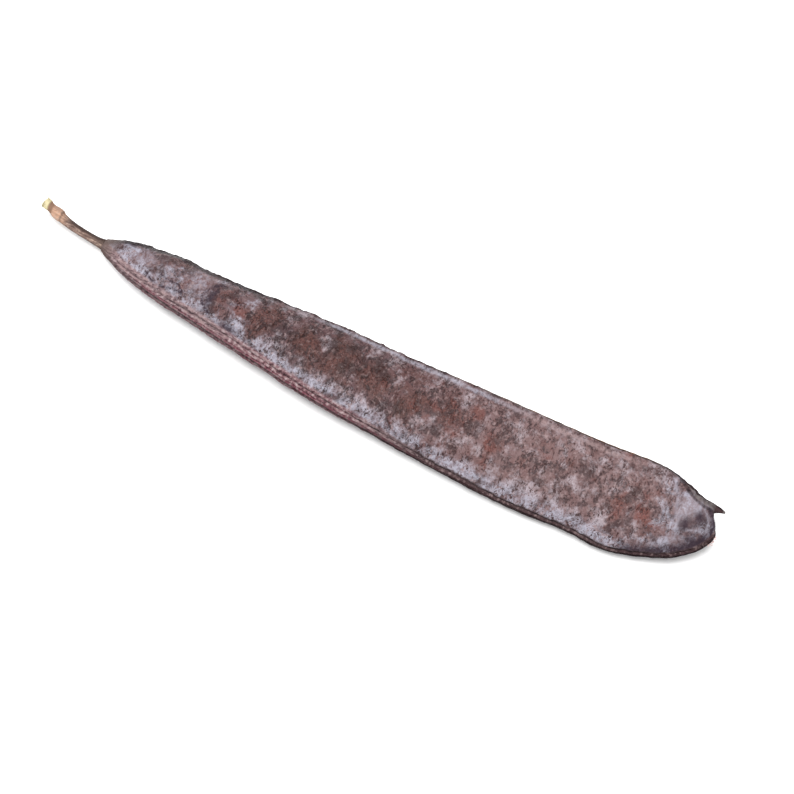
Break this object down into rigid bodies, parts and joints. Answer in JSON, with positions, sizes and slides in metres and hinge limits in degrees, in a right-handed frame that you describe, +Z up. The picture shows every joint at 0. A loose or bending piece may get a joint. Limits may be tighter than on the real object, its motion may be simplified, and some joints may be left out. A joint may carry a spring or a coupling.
{
  "type": "honey locust pod",
  "caption": "Long flattened ripe seed pod with two ribbed seams, swellings over its seeds, a short beak at the tip and its dry stalk.",
  "frame": {"origin": "middle of the bounding box's underside, on the surface that the pod lies on", "axes": "+X from the stalk to the beak at the pod's tip, +Y from the seam that carries the seeds to the thinner back seam, +Z up through the pod's flat faces"},
  "size_m": [0.2572, 0.034, 0.0153],
  "materials": {
    "pod_skin": "satin, waxy and finely wrinkled",
    "stalk_bark": "dry and matt"
  },
  "bodies": {
    "root": {"pod": "pod_skin", "stalk": "stalk_bark"}
  },
  "joints": []
}
